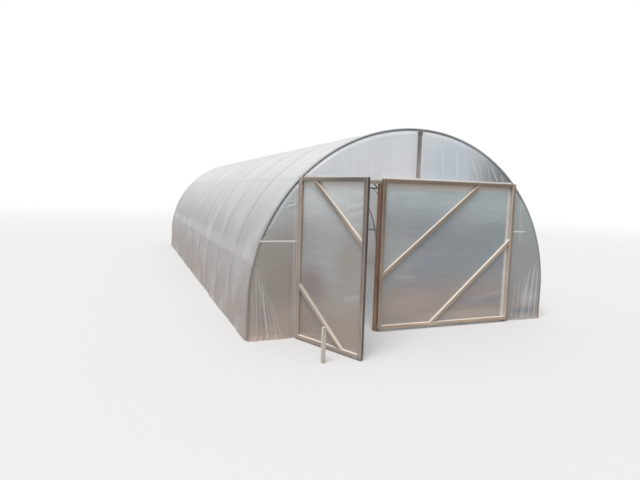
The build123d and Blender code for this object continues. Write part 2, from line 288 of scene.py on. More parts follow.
def filmPaint(name, look, touching=None, paler=None):
    # milky plastic sheet: hazy where it hangs free, clearer where it lies on a pipe or board
    paint = Paint(bpy.data.materials.new(name))
    flat = paint.node("ShaderNodeUVMap", {"uv_map": "film"})
    crease = paint.mark("crease")
    touch = paint.mark("pressed")
    height = paint.split(paint.place())[2]
    lengthwise, upward = paint.split(flat)[:2]
    wide, tall = look["streak"]
    streak = paint.noise(flat, 1.0, 2.0, 0.5, stretched=(wide, tall, 1))
    fine = paint.noise(flat, 1.0, 2.0, 0.5, stretched=(wide * 6, tall * 4, 1))
    cloud = paint.noise(flat, 0.9, 2.0)
    patch = paint.noise(flat, 1.7, 2.0, 0.5, 0.4)
    crinkle = paint.noise(flat, 24.0, 3.0, 0.55, 0.6)
    soil = paint.between(height + cloud * 0.25, 0.25, 0.02)
    level = height + cloud * 0.4 - 0.2
    footLow, footHigh, topLow, topHigh = look["levels"]
    # colour by height: partly dust low down, partly painted light and shade
    colour = paint.blend(paint.between(level, footLow, footHigh), look["foot"], look["middle"])
    colour = paint.blend(paint.between(level, topLow, topHigh), colour, look["top"])
    colour = paint.blend(paint.between(patch, 0.45, 0.75) * 0.5, colour, look["blotch"])
    # painted light and shade: soft lighter and darker patches
    for shadeU, shadeV, reachU, reachV, tint, strength in look["paintedLightAndShade"]:
        away = (((lengthwise - shadeU) / reachU) ** 2 + ((upward - shadeV) / reachV) ** 2) ** 0.5
        colour = paint.blend(paint.between(away + cloud * 0.5 - 0.25, 1.0, 0.15) * strength, colour, tint)
    tone = paint.between(streak * 0.6 + fine * 0.4, 0.38, 0.62)
    # random streaks, painted glints for light caught on fine ripples, soil low down, and the painted
    # highlight on creases
    for tint, share in (("streak", (1 - tone) * look["streaky"]),
                        ("paintedGlint", paint.between(fine, 0.66, 0.78) * 0.25),
                        ("soil", soil * 0.25), ("crease", crease * look["creaseHighlight"])):
        colour = paint.blend(share, colour, filmTints[tint])
    haze = look["cloudy"] + tone * 0.03 + crease * 0.05 + soil * 0.03
    if touching:
        touch = touch.reckon("MAXIMUM", touch, touching(paint, lengthwise, upward))
    haze = haze - touch * (look["cloudy"] - look["pressed"])
    # paler bands: painted light above the lower purlins and over the laths, and the film's pale hem over the
    # door head
    if paler:
        band = paler(paint, lengthwise, upward)
        colour = paint.blend(band * 0.85, colour, filmTints["paler"])
        haze = haze + band
    relief = streak * 0.4 + fine * 0.25 + crinkle * 0.10
    skin = paint.skin(colour, look["rough"] + cloud * 0.16, 1.48, relief, 0.28, 0.004)
    glow = paint.node("ShaderNodeBsdfTranslucent", {}, {"Color": (*look["top"], 1)})
    sheet = paint.layered(look["through"], skin, glow)
    return paint.finish(paint.layered(haze.reckon("MINIMUM", haze, 1.0), paint.clear(), sheet))


# how strongly pipes show in the cover: each hoop's line, a soft wide band of painted shade round it for the
# film sagging away from the light, and the purlins
pipeMarks = {"hoop": 0.42, "hoopShade": 0.38, "hoopShadeReach": 0.095, "lower": 0.06, "upper": 0.22, "ridge": 0.22}


def onHoopsAndPurlins(paint, lengthwise, upward):
    bay, width = tunnel["bay"], pipeRadius * 0.95
    step = lengthwise / bay + 0.5
    near = abs(step.reckon("FRACT", step) - 0.5) * bay
    side = abs(upward)
    # a clear line on each hoop, and round it a wide band of painted shade
    hoops = (paint.between(near, width * 1.8, width * 0.5) * pipeMarks["hoop"]
             + paint.between(near, pipeMarks["hoopShadeReach"], 0.0) * pipeMarks["hoopShade"])
    hoops = hoops * (0.8 + paint.between(side, lowerPurlinArc - 0.1, lowerPurlinArc + 0.2) * 0.7)
    purlins = (("lower", abs(side - lowerPurlinArc - width)), ("upper", abs(side - upperPurlinArc)),
               ("ridge", side))
    lower, upper, ridge = (paint.between(away, width * 1.8, width * 0.4) * pipeMarks[name]
                           for name, away in purlins)
    return hoops.reckon("MAXIMUM", hoops, lower + upper + ridge)


def litAboveLowerPurlins(paint, lengthwise, upward):
    # painted light: the film is paler down to where it bends over the lower purlins, where its ridge catches
    # the light
    side = abs(upward)
    above = paint.between(side, lowerPurlinArc - 0.20, lowerPurlinArc - 0.01)
    return above * paint.between(side, lowerPurlinArc + 0.025, lowerPurlinArc + 0.005) * 0.20


# timber under the end film: the king post shows through where the film lies on it, the door head takes the
# film's pale hem, and over each lath the film gets a band of painted light; each mark fades in between a pair
# of places;
# left and right are the laths' heights and inner ends
timberMarks = {"kingPost": (0.034, 0.026), "head": (1.808, 1.798), "lath": (0.012, 0.007),
               "left": (1.071, (-1.4, -1.42)), "right": (1.176, (1.4, 1.42)), "rightEnd": (1.72, 1.62)}


def onKingPost(paint, lengthwise, upward):
    return paint.between(abs(lengthwise), *timberMarks["kingPost"])


def onHead(paint, lengthwise, upward):
    return paint.between(upward, *timberMarks["head"])


# painted light: a pale band on the film over each lath, for the lath's lit top edge
def litOverLaths(paint, lengthwise, upward):
    left, right = (paint.between(abs(upward - height), *timberMarks["lath"])
                   * paint.between(lengthwise, *start)
                   for height, start in (timberMarks["left"], timberMarks["right"]))
    return left + right * paint.between(lengthwise, *timberMarks["rightEnd"])


# timber colours: edge is the pale colour of worn edges and of painted light on edges and on faces turned up
# or to a lit side; stainShadeColour is the colour of stains and of painted shade
woodLook = {
    "leaf": {"pale": (0.61, 0.475, 0.365), "dark": (0.44, 0.32, 0.23), "edge": (0.96, 0.91, 0.84),
             "grey": (0.39, 0.335, 0.29), "stainShadeColour": (0.125, 0.085, 0.055), "greying": 0.25, "soilTop": 0.10},
    # the left leaf's timber: greyer and darker, partly weathering and partly painted shade for its face
    # turned from the light
    "weatheredShadedLeaf": {"pale": (0.50, 0.405, 0.33), "dark": (0.32, 0.25, 0.195), "edge": (0.93, 0.87, 0.79),
                "grey": (0.31, 0.275, 0.25), "stainShadeColour": (0.035, 0.024, 0.026), "greying": 0.7,
                "soilTop": 0.10},
    "wall": {"pale": (0.39, 0.30, 0.245), "dark": (0.25, 0.18, 0.14), "edge": (0.62, 0.53, 0.45),
             "grey": (0.29, 0.25, 0.225), "stainShadeColour": (0.07, 0.045, 0.035), "greying": 0.25, "soilTop": 0.22},
    "redPost": {"pale": (0.60, 0.41, 0.28), "dark": (0.42, 0.26, 0.17), "edge": (0.46, 0.33, 0.24),
                "grey": (0.20, 0.155, 0.125), "stainShadeColour": (0.16, 0.055, 0.035), "greying": 0.15,
                "soilTop": 0.22},
    # the laths' pale colour is partly painted light, for their lit top edges seen through the film
    "lath": {"pale": (0.88, 0.82, 0.73), "dark": (0.72, 0.62, 0.50), "edge": (0.93, 0.88, 0.80),
             "grey": (0.60, 0.57, 0.53), "stainShadeColour": (0.20, 0.14, 0.10), "greying": 0.15, "soilTop": 0.22},
    "stake": {"pale": (0.66, 0.60, 0.50), "dark": (0.42, 0.355, 0.285), "edge": (0.88, 0.83, 0.75),
              "grey": (0.46, 0.44, 0.40), "stainShadeColour": (0.12, 0.085, 0.06), "greying": 0.6, "soilTop": 0.12},
}
woodTints = {"knot": (0.20, 0.11, 0.06), "soil": (0.30, 0.20, 0.135)}


def woodPaint(name, look):
    # sawn softwood, its grain following each board's own length
    paint = Paint(bpy.data.materials.new(name))
    grain = paint.mark("grain", 1)
    place = paint.place()
    growth = paint.noise(grain, 1.0, 2.0, 0.5, 0.4, (0.7, 9.0, 9.0))
    rings = growth * 11.0
    rings = rings.reckon("PINGPONG", rings, 1.0)
    fibre = paint.noise(grain, 1.0, 3.0, 0.6, stretched=(4.0, 210.0, 210.0))
    saw = paint.noise(grain, 1.0, 2.0, 0.5, 0.6, (260.0, 14.0, 14.0))
    weather = paint.noise(place, 2.6, 4.0, 0.6)
    knot = paint.node("ShaderNodeMapping", {}, {"Vector": grain, "Scale": (2.3, 11.0, 11.0)})
    knot = paint.node("ShaderNodeTexVoronoi", {}, {"Vector": knot, "Scale": 1.0})
    knots = paint.between(knot, 0.17, 0.07)
    soil = paint.between(paint.split(place)[2] + weather * 0.20, look["soilTop"], 0.03)
    greyed = paint.between(weather * 0.7 + fibre * 0.3, 0.62 - look["greying"] * 0.45, 0.78)
    tone = paint.between(rings * 0.45 + fibre * 0.55, 0.25, 0.80)
    colour = paint.blend(tone, look["pale"], look["dark"])
    # mixed in: knots, greying, stains with painted shade, worn edges with a painted highlight, painted light
    # on upward and lit faces, soil low down
    for share, tint in ((knots * 0.75, woodTints["knot"]), (greyed * 0.75, look["grey"]),
                        (paint.mark("stainAndShade") * (0.8 + weather * 0.4), look["stainShadeColour"]),
                        (paint.mark("wornLitEdge") * (0.20 + fibre * 0.75), look["edge"]),
                        (paint.mark("litFromAbove") * (0.55 + fibre * 0.45), look["edge"]),
                        (soil * 0.35, woodTints["soil"])):
        colour = paint.blend(share, colour, tint)
    height = fibre * 0.5 + rings * 0.25 + saw * 0.35 - knots * 0.2
    return paint.finish(paint.skin(colour, 0.62 + fibre * 0.22, 1.45, height, 0.45, 0.0015))


# dull and light colour, then how rusty, how metallic and how much paler towards the right
steelLook = {
    "galvanisedPipe": ((0.12, 0.13, 0.127), (0.20, 0.21, 0.208), 0.25, 0.55, 0.6),
    "zincHinge": ((0.34, 0.34, 0.33), (0.50, 0.50, 0.49), 0.5, 0.55, 0.0),
    "darkWire": ((0.035, 0.033, 0.032), (0.075, 0.068, 0.062), 0.9, 0.55, 0.0),
    "blackHook": ((0.008, 0.008, 0.008), (0.018, 0.016, 0.015), 0.6, 0.0, 0.0),
    "screwSteel": ((0.26, 0.25, 0.22), (0.42, 0.40, 0.35), 0.4, 0.55, 0.0),
}
steelTints = {"paleRight": (0.46, 0.47, 0.465), "rust": (0.19, 0.085, 0.035), "soil": (0.22, 0.15, 0.10)}


def steelPaint(name, colour, light, rust, metal, paleRight):
    # galvanised or rusting steel
    paint = Paint(bpy.data.materials.new(name))
    place = paint.place()
    parts = paint.split(place)
    spangle = paint.node("ShaderNodeTexVoronoi", {}, {"Vector": place, "Scale": 120.0})
    bloom = paint.noise(place, 9.0, 4.0, 0.6)
    scratch = paint.noise(place, 160.0, 3.0, 0.6)
    low = paint.between(parts[2] + bloom * 0.16, 0.22, 0.02)
    tone = paint.blend(paint.between(spangle * 0.5 + bloom * 0.5, 0.30, 0.62), colour, light)
    for tint, share in (("paleRight", paint.between(parts[0] + bloom * 0.8, 0.5, 1.3) * paleRight),
                        ("rust", paint.between(bloom + scratch * 0.3, 0.78, 0.95) * rust),
                        ("soil", low * 0.6)):
        tone = paint.blend(share, tone, steelTints[tint])
    relief = scratch * 0.6 + spangle * 0.3
    return paint.finish(paint.skin(tone, 0.40 + bloom * 0.22, 1.5, relief, 0.2, 0.0006,
                                   metal - low * metal * 0.7))


filmMarks = {"cover": (onHoopsAndPurlins, litAboveLowerPurlins), "gable": (onKingPost, onHead),
             "leftCheek": (None, litOverLaths), "rightCheek": (None, litOverLaths)}
films = {name: filmPaint(f"{name}FilmPaint", look, *filmMarks.get(name, ()))
         for name, look in filmLook.items()}
woods = {name: woodPaint(f"{name}Timber", look) for name, look in woodLook.items()}
steels = {name: steelPaint(name, *look) for name, look in steelLook.items()}
print("materials made")


# mesh helpers

def only(piece):
    if bpy.context.object and bpy.context.object.mode != "OBJECT":
        bpy.ops.object.mode_set(mode="OBJECT")
    bpy.ops.object.select_all(action="DESELECT")
    piece.select_set(True)
    bpy.context.view_layer.objects.active = piece


def newMesh(add, **shape):
    # a new mesh, with its place, turn and size applied
    bpy.ops.object.select_all(action="DESELECT")
    add(**shape)
    bpy.ops.object.transform_apply(location=True, rotation=True, scale=True)
    return bpy.context.object


def editFaces(piece, wanted):
    # edit mode with only the wanted faces selected
    bpy.ops.object.mode_set(mode="EDIT")
    bpy.ops.mesh.select_all(action="DESELECT")
    bpy.ops.object.mode_set(mode="OBJECT")
    for face in piece.data.polygons:
        face.select = wanted(face)
    bpy.ops.object.mode_set(mode="EDIT")


def bevel(piece, width, segments=1, angle=30):
    edge = piece.modifiers.new("edge", "BEVEL")
    edge.width = width
    edge.segments = segments
    edge.limit_method = "ANGLE"
    edge.angle_limit = math.radians(angle)
    bpy.ops.object.modifier_apply(modifier="edge")


def read(things, key):
    values = np.empty(len(things) * 3)
    things.foreach_get(key, values)
    return values.reshape(-1, 3)


def vertexPlaces(piece):
    return read(piece.data.vertices, "co")


def setPlaces(piece, places):
    piece.data.vertices.foreach_set("co", np.ascontiguousarray(places, dtype=np.float32).ravel())
    piece.data.update()


def mark(piece, name, values, domain="POINT"):
    # a named value on each point or face, for the materials
    values = np.ascontiguousarray(values, dtype=np.float32)
    kind, key = ("FLOAT", "value") if values.ndim == 1 else ("FLOAT_VECTOR", "vector")
    marks = piece.data.attributes.get(name) or piece.data.attributes.new(name, kind, domain)
    marks.data.foreach_set(key, values.ravel())


def joined(name, parts):
    only(parts[0])
    for part in parts:
        part.select_set(True)
    if len(parts) > 1:
        bpy.ops.object.join()
    piece = bpy.context.object
    piece.name = name
    piece.data.name = name
    return piece


def dress(piece, paint, slot, body, *nodes):
    piece.data.materials.clear()
    piece.data.materials.append(paint)
    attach(piece, body)
    if nodes:
        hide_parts(*nodes)
    return piece


def copyOf(piece, name):
    twin = piece.copy()
    twin.data = piece.data.copy()
    twin.name = name
    bpy.context.scene.collection.objects.link(twin)
    return twin


# pipes: one hoop is drawn out from a ring at its left foot, and copied

pipeLook = {"sides": 16, "footSteps": 2, "shoulderSteps": 22, "crownSteps": 24, "wall": 0.0025,
            "sleeve": 0.016, "sleeveLength": 0.16, "sleeveEdge": 0.0015, "sleeveShares": (0.34, 0.67),
            "sleeveShift": 0.2}


def bendHoop(name):
    hoop = newMesh(bpy.ops.mesh.primitive_circle_add, vertices=pipeLook["sides"], radius=pipeRadius,
                   location=(-tunnel["halfWidth"], 0, 0))
    hoop.name = name
    bpy.ops.object.mode_set(mode="EDIT")
    bpy.ops.mesh.select_all(action="SELECT")

    def drawOut(rise):
        for step in range(pipeLook["footSteps"]):
            bpy.ops.mesh.extrude_region_move(
                TRANSFORM_OT_translate={"value": (0, 0, rise / pipeLook["footSteps"])})

    drawOut(tunnel["foot"])
    for steps, turn, x, z in (
            (pipeLook["shoulderSteps"], shoulderTurn, -tunnel["inset"], tunnel["foot"]),
            (pipeLook["crownSteps"], 2 * crownHalf, 0, crownHeight),
            (pipeLook["shoulderSteps"], shoulderTurn, tunnel["inset"], tunnel["foot"])):
        bpy.ops.mesh.spin(steps=steps, angle=turn, center=(x, 0, z), axis=(0, -1, 0))
    drawOut(-tunnel["foot"])
    bpy.ops.mesh.select_all(action="SELECT")
    bpy.ops.mesh.remove_doubles(threshold=0.0005)
    bpy.ops.mesh.normals_make_consistent(inside=False)
    bpy.ops.object.mode_set(mode="OBJECT")
    bpy.ops.object.shade_smooth()
    return hoop


frontHoop = bendHoop("frontHoopPipe")
print("hoop bent, its top at", round(float(vertexPlaces(frontHoop)[:, 2].max()), 4))
hoops = []
for i in range(1, tunnel["bays"] + 1):
    hoops.append(copyOf(frontHoop, f"hoop{i}"))
    hoops[-1].data.transform(Matrix.Translation((0, front + i * tunnel["bay"], 0)))
frontHoop.data.transform(Matrix.Translation((0, front, 0)))
backHoop = hoops.pop()
backHoop.name = "backHoopPipe"
innerHoops = joined("innerHoopPipes", hoops)
for hoop, node in ((frontHoop, "front_hoop"), (backHoop, "back_hoop"), (innerHoops, "inner_hoops")):
    dress(hoop, steels["galvanisedPipe"], "pipe", "tunnel", node)


def purlinPipe(name, node):
    # straight pipe with a rim round each end and two joining sleeves
    low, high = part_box(node)
    pieces = []
    z = high.z - pipeRadius
    lying = {"vertices": pipeLook["sides"], "rotation": (math.pi / 2, 0, 0)}
    reach = high.x - pipeRadius
    for x in (-reach, reach) if high.x - low.x > 0.1 else (0.0,):
        pieces.append(newMesh(bpy.ops.mesh.primitive_cylinder_add, radius=pipeRadius, depth=high.y - low.y,
                              location=(x, (low.y + high.y) / 2, z), **lying))
        editFaces(pieces[-1], lambda face: abs(face.normal.y) > 0.9)
        bpy.ops.mesh.inset(thickness=pipeLook["wall"])
        bpy.ops.object.mode_set(mode="OBJECT")
        for share in pipeLook["sleeveShares"]:
            place = (x, low.y + (high.y - low.y) * share + pipeLook["sleeveShift"], z)
            pieces.append(newMesh(bpy.ops.mesh.primitive_cylinder_add, radius=pipeLook["sleeve"],
                                  depth=pipeLook["sleeveLength"], location=place, **lying))
            bevel(pieces[-1], pipeLook["sleeveEdge"])
    piece = joined(name, pieces)
    bpy.ops.object.shade_smooth_by_angle(angle=math.radians(40))
    return dress(piece, steels["galvanisedPipe"], "pipe", "tunnel", node)


purlinPipe("ridgePurlinPipe", "ridge_purlin")
purlinPipe("upperPurlinPipes", "upper_purlins")
purlinPipe("lowerPurlinPipes", "lower_purlins")
print("pipes made")


# sawn boards

boardLook = {"edge": 0.0036, "section": 0.14, "bow": 0.0014, "waver": 0.0006, "dip": 0.0005, "post": 0.06}


def sawnBoard(start, end, width, depth, facing, seed, cuts=(), lap=None, tone=(0.0, 0.0),
              sideTones=(0.0, 0.0), litSides=(0.0, 0.0), sideReach=0.0012, sunned=(1.0, 1.0)):
    # a board between the centres of its two ends; facing is the way that its broad face looks
    start, end, facing = Vector(start), Vector(end), Vector(facing).normalized()
    along = (end - start).normalized()
    across = facing.cross(along)
    place = Matrix((along, across, facing)).transposed().to_4x4()
    place.translation = (start + end) / 2
    length = (end - start).length
    ends = -length / 2, length / 2
    rise = {"front": depth / 4, "back": -depth / 4}.get(lap, 0)
    board = newMesh(bpy.ops.mesh.primitive_cube_add, size=1, location=(0, 0, rise),
                    scale=(length, width, depth / 2 if lap else depth))
    bpy.ops.object.mode_set(mode="EDIT")
    count = max(2, round(length / boardLook["section"]))
    sections = [ends[0] + length * i / count for i in range(1, count)]
    if lap:
        sections += [ends[0] + width, ends[1] - width]
    for x in sections:
        bpy.ops.mesh.select_all(action="SELECT")
        bpy.ops.mesh.bisect(plane_co=(x, 0, 0), plane_no=(1, 0, 0))
    if lap:
        # the full depth between the two laps
        toward = -1 if lap == "front" else 1
        editFaces(board, lambda face: abs(face.center.x) < ends[1] - width and face.normal.z * toward > 0.9)
        bpy.ops.mesh.extrude_region_move(TRANSFORM_OT_translate={"value": (0, 0, toward * depth / 2)})
    bpy.ops.object.mode_set(mode="OBJECT")
    board.data.transform(place)
    bpy.ops.object.mode_set(mode="EDIT")
    for point, normal in cuts:
        bpy.ops.mesh.select_all(action="SELECT")
        bpy.ops.mesh.bisect(plane_co=point, plane_no=normal, use_fill=True, clear_outer=True)
    bpy.ops.object.mode_set(mode="OBJECT")
    bevel(board, boardLook["edge"], 2, 40)
    # a slight bow and uneven saw line, none of it towards the film
    inverse = np.array(place.inverted())
    places = vertexPlaces(board)
    local = places @ inverse[:3, :3].T + inverse[:3, 3]
    x, y, z = local.T
    hump = np.clip(1 - (2 * x / length) ** 2, 0, 1)
    bow = wander([0], 1, seed)[0] * boardLook["bow"] * min(1.0, length)
    shift = hump * bow + hump * boardLook["waver"] * wander(x, 0.09, seed + 1)
    dip = -np.abs(hump * boardLook["dip"] * wander(x + y * 4, 0.11, seed + 2)) * np.sign(z)
    setPlaces(board, places + np.outer(shift, np.array(across)) + np.outer(dip, np.array(facing)))
    # grain, edges worn and partly lit in paint, stains with painted shade, and painted light on faces that
    # look up or to a lit side
    mark(board, "grain", local + np.random.RandomState(seed).uniform(0, 40, 3))
    near = np.maximum(width / 2 - np.abs(y), depth / 2 - np.abs(z))
    mark(board, "wornLitEdge", 1 - ease(near, 0.0005, 0.0045))
    stainShade = np.interp(x, ends, tone) + 0.10 * (1 + wander(x, 0.5, seed + 5)) * 0.5
    # painted shade along one side of the board
    for way, sideTone in zip((-1, 1), sideTones):
        sideShade = np.interp(x, ends, np.broadcast_to(sideTone, 2))
        stainShade = np.maximum(stainShade, sideShade * (y * way > width / 2 - sideReach))
    mark(board, "stainAndShade", stainShade)
    lying = read(board.data.polygons, "normal")
    lengthwise = read(board.data.polygons, "center") @ inverse[0, :3] + inverse[0, 3]
    # painted light on upward faces, by share along the board, and on lit sides
    paintedLight = np.interp(lengthwise, ends, sunned) * ease(lying[:, 2], 0.30, 0.70)
    for way, pale in zip((-1, 1), litSides):
        paintedLight = np.maximum(paintedLight, pale * (lying @ np.array(across) * way > 0.9))
    mark(board, "litFromAbove", paintedLight, "FACE")
    only(board)
    bpy.ops.object.shade_smooth_by_angle(angle=math.radians(35))
    return board


def hoopCuts(height):
    # planes that trim a level board to the inside of the hoop
    rise = height - tunnel["foot"]
    reach = math.sqrt((shoulderRadius - pipeRadius) ** 2 - rise ** 2)
    slant = Vector((reach, 0, rise)).normalized()
    return [((side * (tunnel["inset"] + reach), 0, height), (side * slant.x, 0, slant.z)) for side in (1, -1)]


def wallBoard(name, node, paint, seed, level=False, facing=forward, **tones):
    low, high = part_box(node)
    middle = (low + high) / 2
    if level:
        ends = (low.x, middle.y, middle.z), (high.x, middle.y, middle.z)
        board = sawnBoard(*ends, high.z - low.z, high.y - low.y, facing, seed, hoopCuts(middle.z), **tones)
    else:
        ends = (middle.x, middle.y, low.z), (middle.x, middle.y, high.z)
        board = sawnBoard(*ends, high.x - low.x, high.y - low.y, facing, seed, **tones)
    board.name = name
    return dress(board, woods[paint], "timber", "tunnel", node)


# darkening at places up the middle post, kept light at its foot as painted light against the leaves' shade;
# from where to where the king post turns dark; and the darkening of the door head
wallDarkening = {"middleHeights": (0.0, 0.35, 0.60, 1.72), "middle": (0.0, 0.25, 0.62, 0.80),
              "kingHeights": (2.00, 2.12), "king": 0.05, "head": (0.7, 0.7)}
wallBoard("leftPostTimber", "left_post", "wall", 11)
wallBoard("rightPostTimber", "right_post", "wall", 13)
wallBoard("backKingPostTimber", "back_king_post", "wall", 15, facing=backward)
middlePost = wallBoard("middlePostTimber", "middle_post", "redPost", 12)
mark(middlePost, "stainAndShade", np.interp(vertexPlaces(middlePost)[:, 2], wallDarkening["middleHeights"],
                                    wallDarkening["middle"]))
kingPost = wallBoard("kingPostTimber", "king_post", "wall", 14)
mark(kingPost, "stainAndShade", wallDarkening["king"] + ease(vertexPlaces(kingPost)[:, 2], *wallDarkening["kingHeights"]))
wallBoard("doorHeadTimber", "door_head", "wall", 16, True, tone=wallDarkening["head"])
wallBoard("backHeadTimber", "back_head", "wall", 17, True, backward)
wallBoard("leftLathTimber", "left_lath", "lath", 18, True)
wallBoard("rightLathTimber", "right_lath", "lath", 19, True)
backLow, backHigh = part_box("back_posts")
backMiddle, postHalf = (backLow.y + backHigh.y) / 2, boardLook["post"] / 2
backPosts = [sawnBoard((x, backMiddle, 0), (x, backMiddle, backHigh.z), boardLook["post"],
                       backHigh.y - backLow.y, backward, 20 + i)
             for i, x in enumerate((backLow.x + postHalf, backHigh.x - postHalf))]
dress(joined("backPostTimbers", backPosts), woods["wall"], "timber", "tunnel", "back_posts")
print("wall timber made")

# leaves, each built shut about its own hinge line and then turned to rest

# upper, lower: how far each brace reaches along its rail and its stile; stiles, rails, braces: stains and
# painted
# shade at the two ends of each; sunned: painted light on upward faces at the two ends of each brace;
# freeSide:
# painted shade on the free stile's outer side; hingeSide: painted light on the inner side of the hinge stile,
# painted shade on its outer one
leafLook = {
    "left": {"side": 1, "axis": -1.450092, "width": 0.957, "foot": 0.010, "top": 1.760065,
             "upper": (0.676, 0.592), "lower": (0.620, 0.534), "turn": -67.0, "paint": woods["weatheredShadedLeaf"],
             "stiles": ((0.0, 0.0), (0.0, 0.70)), "rails": ((0.0, 0.0), (0.30, 0.78)),
             "braces": ((0.50, 0.0), (0.0, 0.0)), "sunned": ((0.65, 1.1), (0.70, 0.20)),
             "freeSide": (0.72, 1.05), "hingeSide": (0.0, 0.0)},
    "right": {"side": -1, "axis": 1.431092, "width": 1.904185, "foot": 0.030, "top": 1.784065,
              "upper": (1.301, 1.072), "lower": (1.111, 0.977), "turn": 0.0, "paint": woods["leaf"],
              "stiles": ((0.20, 0.36), (0.30, 1.0)), "rails": ((0.02, 0.0), (0.88, 0.80)),
              "braces": ((0.66, 0.45), (0.15, 0.25)), "sunned": ((1.0, 1.0), (1.0, 1.0)),
              "freeSide": 0.80, "hingeSide": (0.4, 0.9)},
}
leafSizes = {"face": 0.044, "depth": 0.040, "axisOut": 0.0215, "back": -0.004, "aside": 0.005,
             "inset": 0.006, "mesh": 0.0105}


def restMatrix(leaf):
    axis = Matrix.Translation((leaf["axis"], front - leafSizes["axisOut"], 0))
    return axis @ Matrix.Rotation(math.radians(leaf["turn"]), 4, "Z")


def braceEnds(leaf):
    # where each brace meets a rail and a stile, along the leaf and up
    face = leafSizes["face"]
    inner, low, high = leaf["width"] - face, leaf["foot"] + face, leaf["top"] - face
    return (((inner - leaf["upper"][0], high), (inner, high - leaf["upper"][1])),
            ((face + leaf["lower"][0], low), (face, low + leaf["lower"][1])))


def leafTimbers(side, seed):
    leaf = leafLook[side]
    sign, width, foot, top = leaf["side"], leaf["width"], leaf["foot"], leaf["top"]
    face, depth = leafSizes["face"], leafSizes["depth"]

    def at(along, height):
        return Vector((sign * (leafSizes["aside"] + along), leafSizes["back"] - depth / 2, height))

    def batten(start, end, number, **look):
        return sawnBoard(start, end, face, depth, forward, seed + number, **look)

    # painted light and shade on the two sides of each stile, the other way round on the left leaf
    hingeLit, darkened = leaf["hingeSide"]
    hinged = {"sideTones": (darkened, 0.0)[::-sign], "litSides": (0.0, hingeLit)[::-sign],
              "sideReach": 0.005}
    sides = hinged, {"sideTones": (0.0, leaf["freeSide"])[::-sign]}
    stiles = [batten(at(x, foot), at(x, top), i, lap="front", tone=leaf["stiles"][i], **sides[i])
              for i, x in enumerate((face / 2, width - face / 2))]
    rails = [batten(at(0, z), at(width, z), 2 + i, lap="back", tone=leaf["rails"][i])
             for i, z in enumerate((foot + face / 2, top - face / 2))]
    edges = [(at(face, 0), (-sign, 0, 0)), (at(width - face, 0), (sign, 0, 0)),
             (at(0, foot + face), (0, 0, -1)), (at(0, top - face), (0, 0, 1))]
    braces = []
    for i, (rail, stile) in enumerate(braceEnds(leaf)):
        start, end = at(*rail), at(*stile)
        more = (end - start).normalized() * 2 * face
        braces.append(batten(start - more, end + more, 4 + i, cuts=edges, tone=leaf["braces"][i],
                             sunned=leaf["sunned"][i]))
    for kind, boards in (("Stiles", stiles), ("Rails", rails), ("Braces", braces)):
        piece = joined(f"{side}Leaf{kind}", boards)
        piece.data.transform(restMatrix(leaf))
        dress(piece, leaf["paint"], "leaf_timber", f"{side}_leaf", f"{side}_leaf_{kind.lower()}")


leafTimbers("left", 31)
leafTimbers("right", 41)
print("leaf timber made")

# film


def cutFilm(name, acrossKnots, alongKnots):
    # a flat sheet laid out at its cut size, with its rows where they are wanted
    sheet = newMesh(bpy.ops.mesh.primitive_grid_add, x_subdivisions=len(acrossKnots) - 1,
                    y_subdivisions=len(alongKnots) - 1, size=1)
    sheet.name = name
    sheet.data.name = name
    flat = vertexPlaces(sheet) + 0.5
    u, v = (np.interp(flat[:, i], np.linspace(0, 1, len(knots)), knots)
            for i, knots in enumerate((acrossKnots, alongKnots)))
    return sheet, u, v


def shapeFilm(sheet, places, u, v, outward, crease=0.0, pressed=0.0):
    setPlaces(sheet, places)
    while sheet.data.uv_layers:
        sheet.data.uv_layers.remove(sheet.data.uv_layers[0])
    layer = sheet.data.uv_layers.new(name="film")
    corners = np.empty(len(sheet.data.loops), dtype=np.int32)
    sheet.data.loops.foreach_get("vertex_index", corners)
    layer.data.foreach_set("uv", np.column_stack((u, v))[corners].astype(np.float32).ravel())
    faces = sheet.data.polygons
    if (read(faces, "normal") * outward(read(faces, "center"))).sum() < 0:
        sheet.data.flip_normals()
    mark(sheet, "crease", np.broadcast_to(crease, u.shape))
    mark(sheet, "pressed", np.broadcast_to(pressed, u.shape))
    only(sheet)
    bpy.ops.object.shade_smooth()


def foldHeight(u, v, folds):
    # ridges along straight lines: from, to, half width and height of each
    height = np.zeros_like(u)
    for fromU, fromV, toU, toV, wide, tall in folds:
        runU, runV = toU - fromU, toV - fromV
        length = math.hypot(runU, runV)
        along = ((u - fromU) * runU + (v - fromV) * runV) / length ** 2
        away = ((u - fromU) * runV - (v - fromV) * runU) / length
        fade = ease(along, -0.02, 0.18) * (1 - ease(along, 0.80, 1.04))
        height += tall * fade * np.exp(-(away / wide) ** 2)
    return height


# pleats: two wanders for each side, as their step and seed
coverLook = {"grip": 0.0147, "wraps": (78, 58, 38, 18), "columns": 580, "rows": 146,
             "purlinSag": 0.016, "openSag": 0.029, "pleat": 0.024, "flare": 0.024,
             "leftPleats": ((0.055, 60), (0.13, 61)), "rightPleats": ((0.06, 62), (0.14, 63))}


